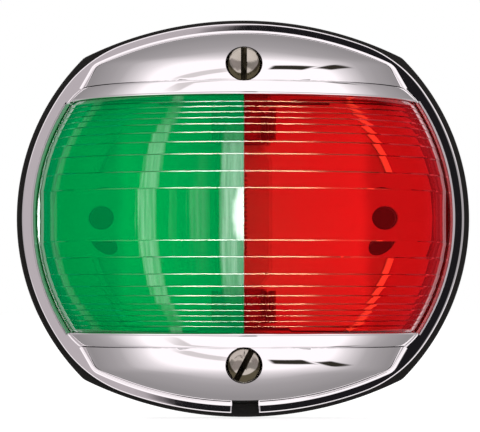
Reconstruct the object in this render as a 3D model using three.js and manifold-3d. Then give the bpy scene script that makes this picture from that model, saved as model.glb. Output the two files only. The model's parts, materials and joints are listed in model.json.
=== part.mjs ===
// A two-colour navigation light for the bow of a small boat, screwed to an upright surface.
// Millimetres. In the assembly group +X is to the viewer's right, +Y is up and +Z comes forward,
// out of the hull. The group is turned as it is exported, so that up is +Z and forward is -Y.

import Module from 'manifold-3d';
import * as THREE from 'three';
import { mergeVertices } from 'three/addons/utils/BufferGeometryUtils.js';

const wasm = await Module();
wasm.setup();

// ---------------------------------------------------------------- driving dimensions

const width = 85.7;
const height = 75.1;
const totalDepth = 41;
const gap = 0.3; // between neighbouring pieces

const sideRadius = width / 2; // the sides of the outline are arcs about the centre
const archRadius = 67.6; // the top and bottom of the outline are flatter arcs
const archDrop = archRadius - height / 2; // the top arc's centre lies this far under the centre
const baseCorner = 1.5;
const coverCorner = 25;
const coverInset = 1.1; // the base shows this far outside the cover

const gasketFront = 1.5;
const gasketInset = 0.8;
const baseBack = gasketFront + gap;
const baseFloor = baseBack + 1.6;
const baseLedge = 5.2; // where the cover rests
const recessInset = 2.55;

const coverBack = baseLedge + gap;
const coverWall = 1.6;
const rimFront = 7.8;
const rimRounding = 0.6;
const raisedInset = 2.8; // from the outline to the foot of a hood
const raisedSide = 39.4;
const hoodTop = height / 2 - raisedInset;
const creaseHeight = 24.2; // where a hood meets the lip over the lens
const creaseStep = 0.35;
const domeSide = 29.2; // half width of a hood beyond the crease

const lensRadius = 38.65; // the sides of the lens are arcs about the centre
const lensWall = 2.2;
const lensBulge = totalDepth - rimFront;
const lensHalfHeight = 23;
const windowHalfHeight = 21.5;
const lipBulge = lensBulge + 0.3;
const zoneEdges = [4.6, 7.6, 10.7, 12.9, 14.6, 16.1, 17.2, 18.2, 19.2, 20.1]; // Fresnel zones
const zoneStep = 1.1;
const seamGap = 0.3;

const sealBack = baseFloor + gap;
const sealThickness = 0.8;
const footBack = sealBack + sealThickness + 0.2;
const footFront = rimFront - coverWall - gap;
const footRadius = 39.9;
const footHalfHeight = 23.5;

const plateBack = 5.6; // the reflector plate
const plateFront = 6.8;
const plateRadius = 36;
const plateHalfHeight = 20.8;
const dishRadius = 30;

const mountHoleX = 26.5;
const mountHoleRadius = 2.25;

const screwHeight = 27.3; // of the cover screws, above and below the centre
const screwSeat = 32.5;
const shankRadius = 1.75;
const headRadius = 3.1;
const recessRadius = 3.6;
const bossRadius = 3.2;
const bossFront = 22;
const insertLength = 9;

const lampDepth = 24.3; // of the lamp's axis, in front of the hull
const lampLength = 41;
const glassRadius = 5.2;
const capRadius = 4.2;
const capLength = 7.6;
const clipWidth = 6;
const clipHeight = 16.4; // of the middle of a contact, above and below the centre
const clipThickness = 0.6;
const terminalLength = 6.5;

const wireRadius = 0.8;
const wireDepth = 4.5;
const wireHoleX = 12.5; // where the wires leave, to one side of the centre

// ---------------------------------------------------------------- materials

function finish(color, roughness, metalness, opacity = 1) {
  return new THREE.MeshStandardMaterial({ color, roughness, metalness, opacity, transparent: opacity < 1 });
}

const chrome = finish(0xd8d8dc, 0.06, 1);
const blackPlastic = finish(0x161418, 0.5, 0);
const whitePlastic = finish(0xf1f0ea, 0.3, 0);
const blackRubber = finish(0x1c1c1e, 0.8, 0);
const nitrile = finish(0x2a2a2c, 0.7, 0);
const greenLens = finish(0x009e48, 0.08, 0, 0.7);
const redLens = finish(0xd8141f, 0.08, 0, 0.7);
const brass = finish(0xc9a14a, 0.3, 1);
const nickel = finish(0xb9b5a8, 0.25, 1);
const steel = finish(0xb8b4a6, 0.28, 1);
const nylon = finish(0xe6e2d6, 0.5, 0);
const clearGlass = finish(0xf4f8fa, 0.02, 0, 0.35);
const tungsten = finish(0x6a6660, 0.4, 1);
const redWire = finish(0xa8141c, 0.45, 0);
const blackWire = finish(0x141414, 0.45, 0);

// ---------------------------------------------------------------- solids

function solid(geometry) {
  const bare = new THREE.BufferGeometry();
  bare.setAttribute('position', geometry.getAttribute('position'));
  bare.setIndex(geometry.getIndex());
  const merged = mergeVertices(bare, 1e-4);
  return new wasm.Manifold(new wasm.Mesh({
    numProp: 3,
    vertProperties: merged.getAttribute('position').array,
    triVerts: Uint32Array.from(merged.getIndex().array),
  }));
}

function geometryOf(manifold) {
  const mesh = manifold.getMesh();
  const geometry = new THREE.BufferGeometry();
  geometry.setAttribute('position', new THREE.BufferAttribute(Float32Array.from(mesh.vertProperties), 3));
  geometry.setIndex(new THREE.BufferAttribute(Uint32Array.from(mesh.triVerts), 1));
  geometry.computeVertexNormals();
  return geometry;
}

function arcPoints(x, y, radius, start, end, steps) {
  const points = [];
  for (let i = 0; i < steps; i += 1) {
    const angle = start + ((end - start) * i) / steps;
    points.push(new THREE.Vector2(x + radius * Math.cos(angle), y + radius * Math.sin(angle)));
  }
  return points;
}

function circlePoints(x, y, radius, steps = 20) {
  return arcPoints(x, y, radius, 0, 2 * Math.PI, steps);
}

// A flat plate from one depth to another, its outline seen from the front.
function plate(points, back, front) {
  const geometry = new THREE.ExtrudeGeometry(new THREE.Shape(points), {
    depth: front - back,
    bevelEnabled: false,
  });
  geometry.translate(0, 0, back);
  return solid(geometry);
}

function cylinder(x, y, radius, back, front, steps = 20) {
  return plate(circlePoints(x, y, radius, steps), back, front);
}

function block(x0, x1, y0, y1, z0, z1) {
  const geometry = new THREE.BoxGeometry(x1 - x0, y1 - y0, z1 - z0);
  geometry.translate((x0 + x1) / 2, (y0 + y1) / 2, (z0 + z1) / 2);
  return solid(geometry);
}

// A turned piece from its profile of [radius, distance along the axis]; the axis is Y.
function turned(profile, steps = 18) {
  const points = profile.map(([radius, along]) => new THREE.Vector2(radius, along));
  return new THREE.LatheGeometry(points, steps);
}

// A turned piece with its axis along Z.
function turnedForward(profile, steps = 18) {
  const geometry = turned(profile, steps);
  geometry.rotateX(Math.PI / 2);
  return geometry;
}

// An upright prism over a plan of [x, z] points. Each layer, listed from the top down, is moved by
// place(x, z, layer), which gives the point's new [x, y, z].
function layered(plan, layers, place) {
  const steps = layers.length - 1;
  const shape = new THREE.Shape(plan.map(([x, z]) => new THREE.Vector2(x, z)));
  const geometry = new THREE.ExtrudeGeometry(shape, { depth: steps, steps, bevelEnabled: false });
  const position = geometry.getAttribute('position');
  for (let i = 0; i < position.count; i += 1) {
    const layer = layers[Math.round(position.getZ(i))];
    position.setXYZ(i, ...place(position.getX(i), position.getY(i), layer));
  }
  return solid(geometry);
}

// ---------------------------------------------------------------- outlines

// The light's outline: side arcs and top and bottom arcs, with the corners between them rounded.
function outline(inset, corner) {
  const side = sideRadius - inset;
  const arch = archRadius - inset;
  const blend = corner - inset > 0.3 ? corner - inset : 0.3;
  const cornerY = ((arch - blend) ** 2 - (side - blend) ** 2 - archDrop ** 2) / (2 * archDrop);
  const cornerX = Math.sqrt((side - blend) ** 2 - cornerY ** 2);
  const low = Math.atan2(cornerY, cornerX);
  const high = Math.atan2(cornerY + archDrop, cornerX);
  const turn = Math.PI;
  return [
    ...arcPoints(0, 0, side, -low, low, 12),
    ...arcPoints(cornerX, cornerY, blend, low, high, 2),
    ...arcPoints(0, -archDrop, arch, high, turn - high, 10),
    ...arcPoints(-cornerX, cornerY, blend, turn - high, turn - low, 2),
    ...arcPoints(0, 0, side, turn - low, turn + low, 12),
    ...arcPoints(-cornerX, -cornerY, blend, turn + low, turn + high, 2),
    ...arcPoints(0, archDrop, arch, turn + high, 2 * turn - high, 10),
    ...arcPoints(cornerX, -cornerY, blend, -high, -low, 2),
  ];
}

// A circle with its top and bottom cut off flat, as the lens opening is.
function drumOutline(radius, halfHeight, steps = 14) {
  const end = Math.asin(halfHeight / radius);
  const corner = (angle) => new THREE.Vector2(radius * Math.cos(angle), radius * Math.sin(angle));
  return [
    ...arcPoints(0, 0, radius, -end, end, steps),
    corner(end),
    ...arcPoints(0, 0, radius, Math.PI - end, Math.PI + end, steps),
    corner(Math.PI + end),
  ];
}

// Half an ellipse of unit size, with a straight part behind it that is given in millimetres.
function bowPlan(back, steps) {
  const plan = [];
  for (let i = 0; i <= steps; i += 1) {
    const angle = (Math.PI * i) / steps;
    plan.push([Math.cos(angle), Math.sin(angle)]);
  }
  plan.push([-1, back - rimFront], [1, back - rimFront]);
  return plan;
}

// Places a point of bowPlan on a layer of the given height, half width and bulge.
function placeOnBow(x, z, layer) {
  const depth = z > 0 ? rimFront + z * layer.bulge : rimFront + z;
  return [x * layer.halfWidth, layer.height, depth];
}

function halfWidthOfCircle(radius, y) {
  return Math.sqrt(radius ** 2 - y ** 2);
}

// ---------------------------------------------------------------- base and its fittings

function screwBoss(side) {
  const y = side * screwHeight;
  const flat = footHalfHeight + gap; // the boss is cut flat where it passes the lens
  return cylinder(0, y, bossRadius + 1, baseFloor - 0.5, bossFront)
    .subtract(block(-6, 6, -flat, flat, 0, bossFront + 1))
    .subtract(cylinder(0, y, bossRadius - 0.5, bossFront - insertLength - 1, bossFront + 1));
}

function baseHousing() {
  const recess = plate(outline(recessInset, baseCorner + recessInset), baseFloor, baseLedge + 1);
  let base = plate(outline(0, baseCorner), baseBack, baseLedge).subtract(recess);
  for (const side of [-1, 1]) {
    const x = side * mountHoleX;
    base = base.add(screwBoss(side));
    base = base.add(cylinder(x, 0, mountHoleRadius + 2.2, baseFloor - 0.5, plateBack - gap));
    base = base.subtract(cylinder(x, 0, mountHoleRadius, 0, plateFront));
  }
  return base.subtract(cylinder(wireHoleX, 0, 4, 0, baseLedge));
}

function hullGasket() {
  let gasket = plate(outline(gasketInset, baseCorner), 0, gasketFront);
  for (const side of [-1, 1]) {
    gasket = gasket.subtract(cylinder(side * mountHoleX, 0, mountHoleRadius + 0.4, -1, 2));
  }
  return gasket.subtract(cylinder(wireHoleX, 0, 5.8, -1, 2));
}

function wireGrommet() {
  const bore = 2.6;
  return turnedForward([
    [bore, 0.7], [5.2, 0.7], [5.2, 1.5], [3.7, 1.5], [3.7, 3.2], [bore, 3.2], [bore, 0.7],
  ]);
}

function threadedInsert() {
  const bore = shankRadius + 0.1;
  const outer = bossRadius - 0.8;
  const back = bossFront - insertLength;
  return turnedForward([
    [bore, back], [outer, back], [outer, bossFront - 4.8], [outer - 0.3, bossFront - 4.4],
    [outer, bossFront - 4], [outer, bossFront - 0.3], [bore, bossFront - 0.3], [bore, back],
  ]);
}

function lensSeal() {
  return plate(drumOutline(footRadius - 0.3, footHalfHeight - 0.2), sealBack, sealBack + sealThickness)
    .subtract(plate(drumOutline(footRadius - 2.6, footHalfHeight - 2.2), 0, 10));
}

// ---------------------------------------------------------------- reflector and lamp contacts

function reflectorPlate() {
  let reflector = plate(drumOutline(plateRadius, plateHalfHeight), plateBack, plateFront);
  const rim = cylinder(0, 0, dishRadius, plateFront - 0.4, plateFront + 0.8, 40)
    .subtract(cylinder(0, 0, dishRadius - 1, 0, 10, 40));
  reflector = reflector.add(rim.intersect(plate(drumOutline(plateRadius, plateHalfHeight), 0, 10)));
  for (const side of [-1, 1]) {
    reflector = reflector.subtract(cylinder(side * mountHoleX, 0, mountHoleRadius + 0.15, 0, 10));
    reflector = reflector.subtract(cylinder(0, side * clipHeight, 1.5, 0, 10, 12));
  }
  return reflector;
}

// A fork of sheet brass: a foot on the reflector plate and two jaws that grip a cap of the lamp.
function lampContact(side) {
  const inner = capRadius + gap;
  const outer = inner + clipThickness;
  const foot = plateFront + 0.2;
  const top = lampDepth + 3;
  const flare = 0.8;
  const fork = [
    [-outer, foot], [outer, foot], [outer, top - 1], [outer + flare, top], [inner + flare, top],
    [inner, top - 1], [inner, foot + clipThickness], [-inner, foot + clipThickness], [-inner, top - 1],
    [-inner - flare, top], [-outer - flare, top], [-outer, top - 1],
  ];
  const centre = side * clipHeight;
  const layers = [{ height: centre + clipWidth / 2 }, { height: centre - clipWidth / 2 }];
  const strip = layered(fork, layers, (x, z, layer) => [x, layer.height, z]);
  return strip.subtract(cylinder(0, centre, 1.5, 0, 10, 12));
}

function contactRivet() {
  const shank = 1.2;
  const head = plateFront + 0.2 + clipThickness + 0.2;
  return turnedForward([
    [0, 3.75], [2, 3.75], [2, 4.3], [shank, 4.3], [shank, head], [2.2, head], [2, head + 0.5],
    [1.2, head + 0.9], [0, head + 1],
  ], 12);
}

// A ring terminal under the rivet, with its crimped barrel to the side where the wires leave.
function wireTerminal(side) {
  const centre = side * clipHeight;
  const ring = cylinder(0, centre, 2.7, 4.6, 5.2, 14);
  const barrel = block(2, terminalLength, centre - 1, centre + 1, 3.9, 5.2);
  return ring.add(barrel).subtract(cylinder(0, centre, 1.45, 0, 10, 12));
}

function wire(side) {
  const points = [
    [terminalLength + gap, clipHeight, wireDepth],
    [terminalLength + 2.8, clipHeight - 0.2, wireDepth],
    [wireHoleX - 0.4, clipHeight - 3.6, wireDepth],
    [wireHoleX, 5, wireDepth],
    [wireHoleX, 2, wireDepth - 0.4],
    [wireHoleX, 1.1, 3],
    [wireHoleX, 1.1, 0.5],
  ];
  const path = new THREE.CatmullRomCurve3(points.map(([x, y, z]) => new THREE.Vector3(x, side * y, z)));
  const section = new THREE.Shape(circlePoints(0, 0, wireRadius, 8));
  return new THREE.ExtrudeGeometry(section, { steps: 18, extrudePath: path, bevelEnabled: false });
}

// ---------------------------------------------------------------- lamp, with its axis along Y

function lampGlass() {
  const wall = 0.6;
  const neck = capRadius - 0.9;
  const neckEnd = lampLength / 2 - capLength + 3;
  const shoulder = lampLength / 2 - capLength - 0.5;
  const outer = [
    [neck, -neckEnd], [neck, -shoulder - 0.2], [glassRadius, -shoulder + 2], [glassRadius, shoulder - 2],
    [neck, shoulder + 0.2], [neck, neckEnd],
  ];
  const inner = outer.map(([radius, along]) => [radius - wall, along]).reverse();
  return turned([...outer, ...inner, outer[0]], 20);
}

// A cup with a pointed end, open towards the glass.
function lampCap() {
  const end = lampLength / 2;
  const mouth = end - capLength;
  const neck = capRadius - 0.6;
  return turned([
    [0, end - 1], [neck, end - 2.8], [neck, mouth], [capRadius, mouth], [capRadius, end - 2.2],
    [2.2, end - 0.4], [1, end], [0, end],
  ], 20);
}

function lampFilament() {
  const reach = lampLength / 2 - 4.2;
  const coil = 5.5;
  const turns = 5;
  const points = [new THREE.Vector3(0, -reach, 0), new THREE.Vector3(0, -coil - 1, 0)];
  for (let i = 0; i <= turns * 4; i += 1) {
    const angle = (i * Math.PI) / 2;
    const along = -coil + (2 * coil * i) / (turns * 4);
    points.push(new THREE.Vector3(0.8 * Math.cos(angle), along, 0.8 * Math.sin(angle)));
  }
  points.push(new THREE.Vector3(0, coil + 1, 0), new THREE.Vector3(0, reach, 0));
  const path = new THREE.CatmullRomCurve3(points);
  const section = new THREE.Shape(circlePoints(0, 0, 0.2, 4));
  return new THREE.ExtrudeGeometry(section, { steps: 60, extrudePath: path, bevelEnabled: false });
}

// ---------------------------------------------------------------- lens

// Each Fresnel zone slopes back from its edge nearer the centre, and the next zone steps forward again.
function fresnelLayers() {
  const border = { height: lensHalfHeight, inset: zoneStep + 0.5 };
  const upper = [border, { height: windowHalfHeight - 0.1, inset: zoneStep + 0.5 }];
  const edges = [...zoneEdges, windowHalfHeight - 0.1].reverse();
  for (let i = 0; i < edges.length - 1; i += 1) {
    upper.push({ height: edges[i], inset: zoneStep }, { height: edges[i + 1], inset: 0 });
  }
  const lower = upper.map(({ height: y, inset }) => ({ height: -y, inset })).reverse();
  return [...upper, ...lower].map(({ height: y, inset }) => ({
    height: y,
    halfWidth: halfWidthOfCircle(lensRadius, y) - inset,
    bulge: lensBulge - inset,
  }));
}

function lensCavity() {
  const halfHeight = plateHalfHeight + 0.4;
  const layers = [];
  const count = 8;
  for (let i = 0; i <= count; i += 1) {
    const y = halfHeight - (2 * halfHeight * i) / count;
    const halfWidth = halfWidthOfCircle(lensRadius - lensWall, y);
    layers.push({ height: y, halfWidth, bulge: lensBulge - lensWall - 0.6 });
  }
  return layered(bowPlan(0, 14), layers, placeOnBow);
}

function wholeLens() {
  const drum = layered(bowPlan(footBack + 0.2, 18), fresnelLayers(), placeOnBow);
  const foot = plate(drumOutline(footRadius, footHalfHeight), footBack, footFront);
  return drum.add(foot).subtract(lensCavity());
}

function halfLens(lens, side) {
  const near = (side * seamGap) / 2;
  const far = side * sideRadius;
  const half = block(Math.min(near, far), Math.max(near, far), -height, height, -1, totalDepth + 1);
  return lens.intersect(half);
}

// ---------------------------------------------------------------- cover

function lipHalfWidth(y, inset) {
  return halfWidthOfCircle(raisedSide - inset, y);
}

function domeHalfWidth(y, inset) {
  const arch = (archRadius - raisedInset - inset) ** 2 - (y + archDrop) ** 2;
  return Math.min(domeSide - inset, Math.sqrt(Math.max(arch, 0.01)));
}

// The layers of a hood, from the edge of the lens opening outwards: a straight lip, a small step
// at the crease, and a dome that curves back to the rim.
function hoodLayers(inset, start) {
  const layers = [start, creaseHeight].map((y) => (
    { height: y, bulge: lipBulge - inset, halfWidth: lipHalfWidth(y, inset) }
  ));
  const reach = hoodTop - creaseHeight - inset;
  const count = 9;
  for (let i = 0; i <= count; i += 1) {
    const angle = (i / count) * 1.47;
    const y = creaseHeight + reach * Math.sin(angle);
    layers.push({
      height: y,
      bulge: (lipBulge - creaseStep - inset) * Math.cos(angle),
      halfWidth: domeHalfWidth(y, inset),
    });
  }
  return layers;
}

function hood(side, inset, start, back) {
  const outward = hoodLayers(inset, start);
  const layers = side > 0 ? outward.reverse() : outward.map((layer) => ({ ...layer, height: -layer.height }));
  return layered(bowPlan(back, 18), layers, placeOnBow);
}

function rimPlate() {
  const bevelled = new THREE.ExtrudeGeometry(new THREE.Shape(outline(coverInset, coverCorner)), {
    depth: rimFront - coverBack,
    bevelThickness: rimRounding,
    bevelSize: rimRounding,
    bevelOffset: -rimRounding,
    bevelSegments: 2,
  });
  bevelled.translate(0, 0, coverBack - rimRounding);
  return solid(bevelled).intersect(block(-width, width, -height, height, coverBack, totalDepth));
}

// The opening for the lens in the rim, wider at the front, where its edge is rounded over.
function rimOpening() {
  const opening = new THREE.ExtrudeGeometry(new THREE.Shape(drumOutline(lensRadius + gap, windowHalfHeight)), {
    depth: totalDepth,
    bevelThickness: 1,
    bevelSize: 0.7,
    bevelSegments: 2,
  });
  opening.translate(0, 0, rimFront - 0.9);
  const throat = plate(drumOutline(lensRadius + gap, windowHalfHeight), 0, rimFront);
  return solid(opening).add(throat);
}

function chromeCover() {
  const underside = plate(outline(coverInset + 1.5, coverCorner), 0, rimFront - coverWall);
  const clearHeight = lensHalfHeight + gap;
  const clearOfLens = block(-width, width, -clearHeight, clearHeight, 0, totalDepth - coverWall);
  let cover = rimPlate().subtract(underside).subtract(rimOpening());
  for (const side of [-1, 1]) {
    const y = side * screwHeight;
    const dome = hood(side, 0, windowHalfHeight, rimFront - coverWall);
    const hollow = hood(side, coverWall, windowHalfHeight - 3, 0);
    const post = dome.intersect(cylinder(0, y, recessRadius + 1.4, screwSeat - coverWall, totalDepth))
      .subtract(clearOfLens);
    cover = cover.add(dome).subtract(hollow).add(post);
    cover = cover.subtract(cylinder(0, y, recessRadius, screwSeat, totalDepth + 1));
    cover = cover.subtract(cylinder(0, y, shankRadius + 0.35, 0, totalDepth + 1));
  }
  const notch = block(-2.1, 2.9, -height, -hoodTop - 0.1, 0, rimFront + 1);
  return cover.subtract(notch);
}

// ---------------------------------------------------------------- cover screws

function screwWasher() {
  const inner = shankRadius + 0.3;
  const back = screwSeat + 0.2;
  return turnedForward([[inner, back], [3, back], [3, back + 0.7], [inner, back + 0.7], [inner, back]]);
}

function coverScrew(slotAngle) {
  const back = screwSeat + 1.1;
  const tip = bossFront - insertLength + 0.5;
  const profile = [
    [0, tip], [shankRadius - 0.7, tip], [shankRadius, tip + 0.8], [shankRadius, back], [headRadius, back],
    [headRadius, back + 0.7], [headRadius * 0.75, back + 1.5], [headRadius * 0.4, back + 1.9], [0, back + 2],
  ];
  const slot = block(-headRadius - 1, headRadius + 1, -0.45, 0.45, back + 0.8, totalDepth);
  const turnedSlot = slot.rotate([0, 0, slotAngle]);
  return solid(turnedForward(profile)).subtract(turnedSlot);
}

// ---------------------------------------------------------------- assembly

const assembly = new THREE.Group();

function place(name, shape, material, x = 0, y = 0, z = 0) {
  const geometry = shape.isBufferGeometry ? shape : geometryOf(shape);
  const mesh = new THREE.Mesh(geometry, material);
  mesh.name = name;
  mesh.position.set(x, y, z);
  assembly.add(mesh);
  return mesh;
}

const lens = wholeLens();

place('hull_gasket', hullGasket(), blackRubber);
place('base_housing', baseHousing(), blackPlastic);
place('wire_grommet', wireGrommet(), blackRubber, wireHoleX);
place('lens_seal', lensSeal(), nitrile);
place('reflector_plate', reflectorPlate(), whitePlastic);
place('lens_green', halfLens(lens, -1), greenLens);
place('lens_red', halfLens(lens, 1), redLens);
place('chrome_cover', chromeCover(), chrome);
place('lamp_glass', lampGlass(), clearGlass, 0, 0, lampDepth);
place('lamp_filament', lampFilament(), tungsten, 0, 0, lampDepth);
place('lamp_cap_top', lampCap(), nickel, 0, 0, lampDepth);
place('lamp_cap_bottom', lampCap(), nickel, 0, 0, lampDepth).rotation.x = Math.PI;

for (const [side, end] of [[1, 'top'], [-1, 'bottom']]) {
  place(`lamp_contact_${end}`, lampContact(side), brass);
  place(`contact_rivet_${end}`, contactRivet(), brass, 0, side * clipHeight);
  place(`wire_terminal_${end}`, wireTerminal(side), nickel);
  place(`threaded_insert_${end}`, threadedInsert(), brass, 0, side * screwHeight);
  place(`screw_washer_${end}`, screwWasher(), nylon, 0, side * screwHeight);
}
place('cover_screw_top', coverScrew(90), steel, 0, screwHeight);
place('cover_screw_bottom', coverScrew(62), steel, 0, -screwHeight);
place('wire_positive', wire(1), redWire);
place('wire_negative', wire(-1), blackWire);

assembly.rotation.x = Math.PI / 2;

const navigationLight = new THREE.Group();
navigationLight.add(assembly);

export default navigationLight;
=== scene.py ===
# The looks of a two-colour navigation light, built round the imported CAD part.
# Shapes are worked out in millimetres in a front view: x to the right, y up, d forward from the hull.

import json
from math import acos, asin, atan2, cos, dist, exp, hypot, pi, radians, sin, sqrt

import bmesh
import bpy
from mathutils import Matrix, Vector
from mathutils.geometry import tessellate_polygon


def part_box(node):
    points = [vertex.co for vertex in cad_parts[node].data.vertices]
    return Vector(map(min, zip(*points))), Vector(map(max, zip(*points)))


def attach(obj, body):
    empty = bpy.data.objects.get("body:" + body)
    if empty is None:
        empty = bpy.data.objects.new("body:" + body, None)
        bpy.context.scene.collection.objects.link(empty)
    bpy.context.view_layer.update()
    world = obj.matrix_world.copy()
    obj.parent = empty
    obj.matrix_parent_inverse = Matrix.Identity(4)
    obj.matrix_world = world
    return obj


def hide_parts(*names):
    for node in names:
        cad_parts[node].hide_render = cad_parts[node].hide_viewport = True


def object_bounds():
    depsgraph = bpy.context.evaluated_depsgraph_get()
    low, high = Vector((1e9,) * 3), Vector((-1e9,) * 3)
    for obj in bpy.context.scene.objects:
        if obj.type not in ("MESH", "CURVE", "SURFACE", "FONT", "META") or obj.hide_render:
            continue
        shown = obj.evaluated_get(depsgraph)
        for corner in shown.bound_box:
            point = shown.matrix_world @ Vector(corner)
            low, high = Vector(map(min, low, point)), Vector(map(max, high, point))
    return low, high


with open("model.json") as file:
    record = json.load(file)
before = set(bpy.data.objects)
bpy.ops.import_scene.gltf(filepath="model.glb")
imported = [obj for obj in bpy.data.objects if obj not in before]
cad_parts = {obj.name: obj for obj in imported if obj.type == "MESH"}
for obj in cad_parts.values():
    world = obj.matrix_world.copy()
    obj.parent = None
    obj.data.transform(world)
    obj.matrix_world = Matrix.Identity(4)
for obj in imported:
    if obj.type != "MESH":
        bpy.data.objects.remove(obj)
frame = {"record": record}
cad_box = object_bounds()

# ------ driving dimensions

MM = 0.001
body_of_node = {n: b for b, ns in frame["record"]["behaviour"]["bodies"].items() for n in ns}


def depth_range(node):
    low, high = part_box(node)
    return -high.y / MM, -low.y / MM


base_low, base_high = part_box("base_housing")
WIDTH = (base_high.x - base_low.x) / MM
HEIGHT = (base_high.z - base_low.z) / MM
BASE_BACK = depth_range("base_housing")[0]
GASKET_FRONT = depth_range("hull_gasket")[1]
SCREW_HEIGHT = (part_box("cover_screw_top")[0].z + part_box("cover_screw_top")[1].z) / 2 / MM

GAP = 0.3
SIDE_RADIUS = WIDTH / 2
ARCH_RADIUS = 67.6
ARCH_DROP = ARCH_RADIUS - HEIGHT / 2
BASE_CORNER = 1.5
COVER_CORNER = 25

BASE_FLOOR = 3.4
BASE_LEDGE = 5.2
RECESS_INSET = 2.55

COVER_BACK = 5.5
COVER_WALL = 1.6
RIM_FRONT = 7.8
EDGE_ROUNDING = 0.2
FLANGE_FALL = 0.05
END_ROUNDING = 0.3
DRAIN = (-2.1, 2.9)  # where the rim is open at the bottom
COVER_SIDE_INSET = 1.15
COVER_ARCH_INSET = 0.8
HOOD_TOP = 34.75
HOOD_FILLET = 0.68
CREASE = 24.2
CREASE_STEP = 0.45
DOME_SIDE = 30.4
DOME_CORNER = 2.6
SIDE_TILT = 30  # degrees that the side of a hood leans inwards
RAISED_SIDE = 39.4
RAISED_ARCH = 64.8
LIP_BULGE = 33.5
LIP_FALL = 0.72  # how far the lip has leaned back where it meets the crease
LIP_EDGE = 0.45
LIP_TUCK = sqrt(RAISED_SIDE**2 - CREASE**2) - DOME_SIDE  # how far the lip narrows towards the hood
WINDOW_HALF_HEIGHT = 21.5
OPENING_RADIUS = 38.95
WINDOW_ANGLE = asin(WINDOW_HALF_HEIGHT / OPENING_RADIUS)
OPENING_ROLL = 0.2
BAND_WIDTH = 0.85  # the band round the lens, leaning slightly inwards
BAND_RISE = 0.086
BAND_DEPTH = 1.1  # of the rounded inner edge of the rim

LENS_RADIUS = 38.65
LENS_BULGE = 33.2
LENS_HALF_HEIGHT = 23
CAVITY_RADIUS = 36.45
CAVITY_BULGE = 30.4
CAVITY_HALF_HEIGHT = 21.2
FOOT_BACK = 4.7
FOOT_FRONT = 5.9
FOOT_RADIUS = 39.9
FOOT_HALF_HEIGHT = 23.5
ZONE_EDGES = [4.6, 7.6, 10.7, 12.9, 14.6, 16.1, 17.2, 18.2, 19.2, 20.1, 21.4]
RIDGE_STEP = 0.24  # how far each lens zone falls back outside
RIDGE_EDGE = 0.19
MIDDLE_PRISM = 1.3  # depth of the one deep prism inside the lens, below the middle
UPPER_PRISM = 0.6  # and of the one above it
BORDER_STEP = 1.6
SEAM_HALF_GAP = 0.04

PLATE_BACK = 5.6
PLATE_FRONT = 6.8
PLATE_RADIUS = 36
PLATE_HALF_HEIGHT = 20.8
DISH_RADIUS = 28.3

HOLE_X = 26.5
HOLE_RADIUS = 2.25
WIRE_HOLE_X = 12.5
CLIP_HEIGHT = 16.4
RIVET_HOLE = 1.5

SCREW_SEAT = 32.5
RECESS_RADIUS = 3.35
SHANK_RADIUS = 1.75
HEAD_RADIUS = 3.1
HEAD_BACK = SCREW_SEAT + 1.1
BOSS_FRONT = 22

LAMP_DEPTH = 24.3
LAMP_HALF = 20.5
GLASS_RADIUS = 5.2
CAP_RADIUS = 4.2
CAP_LENGTH = 7.6

# ------ mesh building


def row_point(x, y, d):
    return Vector((x * MM, -d * MM, y * MM))


class Shell:
    """Faces in millimetres; equal points are shared, and faces that shrink to a line are left out."""

    def __init__(self):
        self.points = []
        self.index = {}
        self.faces = []

    def point(self, p):
        key = tuple(round(c, 4) for c in p)
        if key not in self.index:
            self.index[key] = len(self.points)
            self.points.append(p)
        return self.index[key]

    def face(self, corners):
        ids = []
        for corner in corners:
            i = self.point(corner)
            if i not in ids:
                ids.append(i)
        if len(ids) > 2:
            self.faces.append(ids)

    def grid(self, rows, wrap_rows=False, wrap_columns=False):
        row_steps = len(rows) - (0 if wrap_rows else 1)
        column_steps = len(rows[0]) - (0 if wrap_columns else 1)
        for j in range(row_steps):
            here, there = rows[j], rows[(j + 1) % len(rows)]
            for i in range(column_steps):
                k = (i + 1) % len(here)
                self.face([here[i], here[k], there[k], there[i]])

    def cap(self, loops):
        """Fills a flat outline with holes in it."""
        flat = [p for loop in loops for p in loop]
        for triangle in tessellate_polygon([[Vector(p) for p in loop] for loop in loops]):
            self.face([flat[i] for i in triangle])

    def thick_grid(self, outer, inner):
        """A wall between two grids of the same size."""
        self.grid(outer)
        self.grid([row[::-1] for row in inner])
        edges = [[row[0] for row in outer], [row[-1] for row in outer], outer[0], outer[-1]]
        partners = [[row[0] for row in inner], [row[-1] for row in inner], inner[0], inner[-1]]
        for edge, partner in zip(edges, partners):
            self.grid([edge, partner])


def clean(mesh):
    work = bmesh.new()
    work.from_mesh(mesh)
    bmesh.ops.remove_doubles(work, verts=work.verts, dist=2e-6)
    bmesh.ops.dissolve_degenerate(work, edges=work.edges, dist=1e-7)
    bmesh.ops.recalc_face_normals(work, faces=work.faces)
    work.to_mesh(mesh)
    work.free()


def add_object(name, data):
    made = bpy.data.objects.new(name, data)
    bpy.context.scene.collection.objects.link(made)
    return made


def build(name, shell):
    mesh = bpy.data.meshes.new(name)
    mesh.from_pydata([row_point(*p) for p in shell.points], [], shell.faces)
    clean(mesh)
    return add_object(name, mesh)


def combine(piece, tool, operation="UNION"):
    """Joins tool to piece or cuts it away; the tool is used up."""
    modifier = piece.modifiers.new("combine", "BOOLEAN")
    modifier.operation = operation
    modifier.solver = "EXACT"
    modifier.object = tool
    graph = bpy.context.evaluated_depsgraph_get()
    mesh = bpy.data.meshes.new_from_object(piece.evaluated_get(graph))
    piece.modifiers.clear()
    piece.data = mesh
    bpy.data.objects.remove(tool)
    return piece


def join(piece, *others):
    """Adds the meshes of others to piece."""
    work = bmesh.new()
    work.from_mesh(piece.data)
    for other in others:
        work.from_mesh(other.data)
        bpy.data.objects.remove(other)
    work.to_mesh(piece.data)
    work.free()
    return piece


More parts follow.
